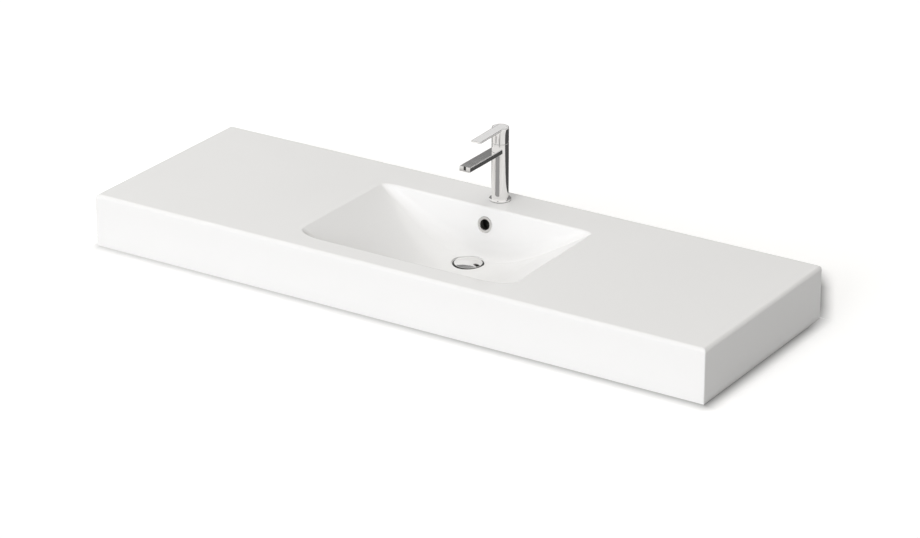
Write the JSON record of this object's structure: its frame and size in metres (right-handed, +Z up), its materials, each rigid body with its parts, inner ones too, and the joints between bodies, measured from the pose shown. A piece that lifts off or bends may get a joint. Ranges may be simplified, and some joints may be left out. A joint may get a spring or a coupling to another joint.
{
  "type": "washbasin",
  "caption": "Wall-hung ceramic washbasin slab with a ramped central bowl, an overflow ring, a single-lever mixer tap and a push-to-open waste.",
  "frame": {"origin": "on the wall plane, on the centreline, midway between the two wall fixing holes and half the slab's height below its deck", "axes": "+X along the basin to the user's right, +Y into the wall, +Z up; the front faces -Y"},
  "size_m": [1.4, 0.465, 0.3562],
  "materials": {
    "glazed_white": "gloss white glaze",
    "chrome": "polished chrome plate",
    "brass": "machined",
    "steel": "zinc or stainless",
    "black_rubber": "matte",
    "white_plastic": "moulded",
    "grey_plastic": "moulded",
    "disc_ceramic": "lapped"
  },
  "bodies": {
    "basin": {"basin_body": "glazed_white", "overflow_ring": "chrome", "waste_gasket": "black_rubber", "waste_body": "chrome", "waste_cone_seal": "black_rubber", "waste_slip_washer": "white_plastic", "waste_nut": "chrome", "click_barrel": "white_plastic", "click_spring": "steel", "base_seal": "black_rubber", "base_ring": "chrome", "tap_body": "chrome", "aerator_housing": "chrome", "aerator_insert": "white_plastic", "aerator_seal": "black_rubber", "cartridge_housing": "white_plastic", "cartridge_base_seals": "black_rubber", "cartridge_oring": "black_rubber", "fixed_disc": "disc_ceramic", "cartridge_nut": "brass", "cover_ring": "chrome", "fixing_stud": "steel", "fixing_rubber": "black_rubber", "fixing_plate": "steel", "fixing_nut": "brass"},
    "cartridge_guide": {"cartridge_turret": "white_plastic", "pivot_pin": "steel"},
    "lever": {"spindle": "brass", "handle": "chrome", "handle_set_screw": "steel", "handle_plug": "grey_plastic"},
    "valve_disc": {"moving_disc": "disc_ceramic", "spindle_carrier": "white_plastic"},
    "waste_plug": {"waste_cap": "chrome", "cap_seal": "black_rubber", "plunger": "brass"}
  },
  "joints": [
    {"name": "lever_swivel", "type": "hinge", "parent": "basin", "child": "cartridge_guide", "pos_m": [0, -0.048, 0.177], "axis": [0, 0, 1], "range_deg": [-45, 45]},
    {"name": "lever_tilt", "type": "hinge", "parent": "cartridge_guide", "child": "lever", "pos_m": [0, -0.048, 0.177], "axis": [-1, 0, 0], "range_deg": [0, 22]},
    {"name": "disc_slide", "type": "slide", "parent": "cartridge_guide", "child": "valve_disc", "axis": [0, -1, 0], "range_m": [0, 0.004]},
    {"name": "plug_slide", "type": "slide", "parent": "basin", "child": "waste_plug", "axis": [0, 0, 1], "range_m": [0, 0.008], "deforming": ["click_spring"]}
  ],
  "couplings": [
    {"joint": "disc_slide", "follows": "lever_tilt", "m_per_rad": 0.01024}
  ]
}
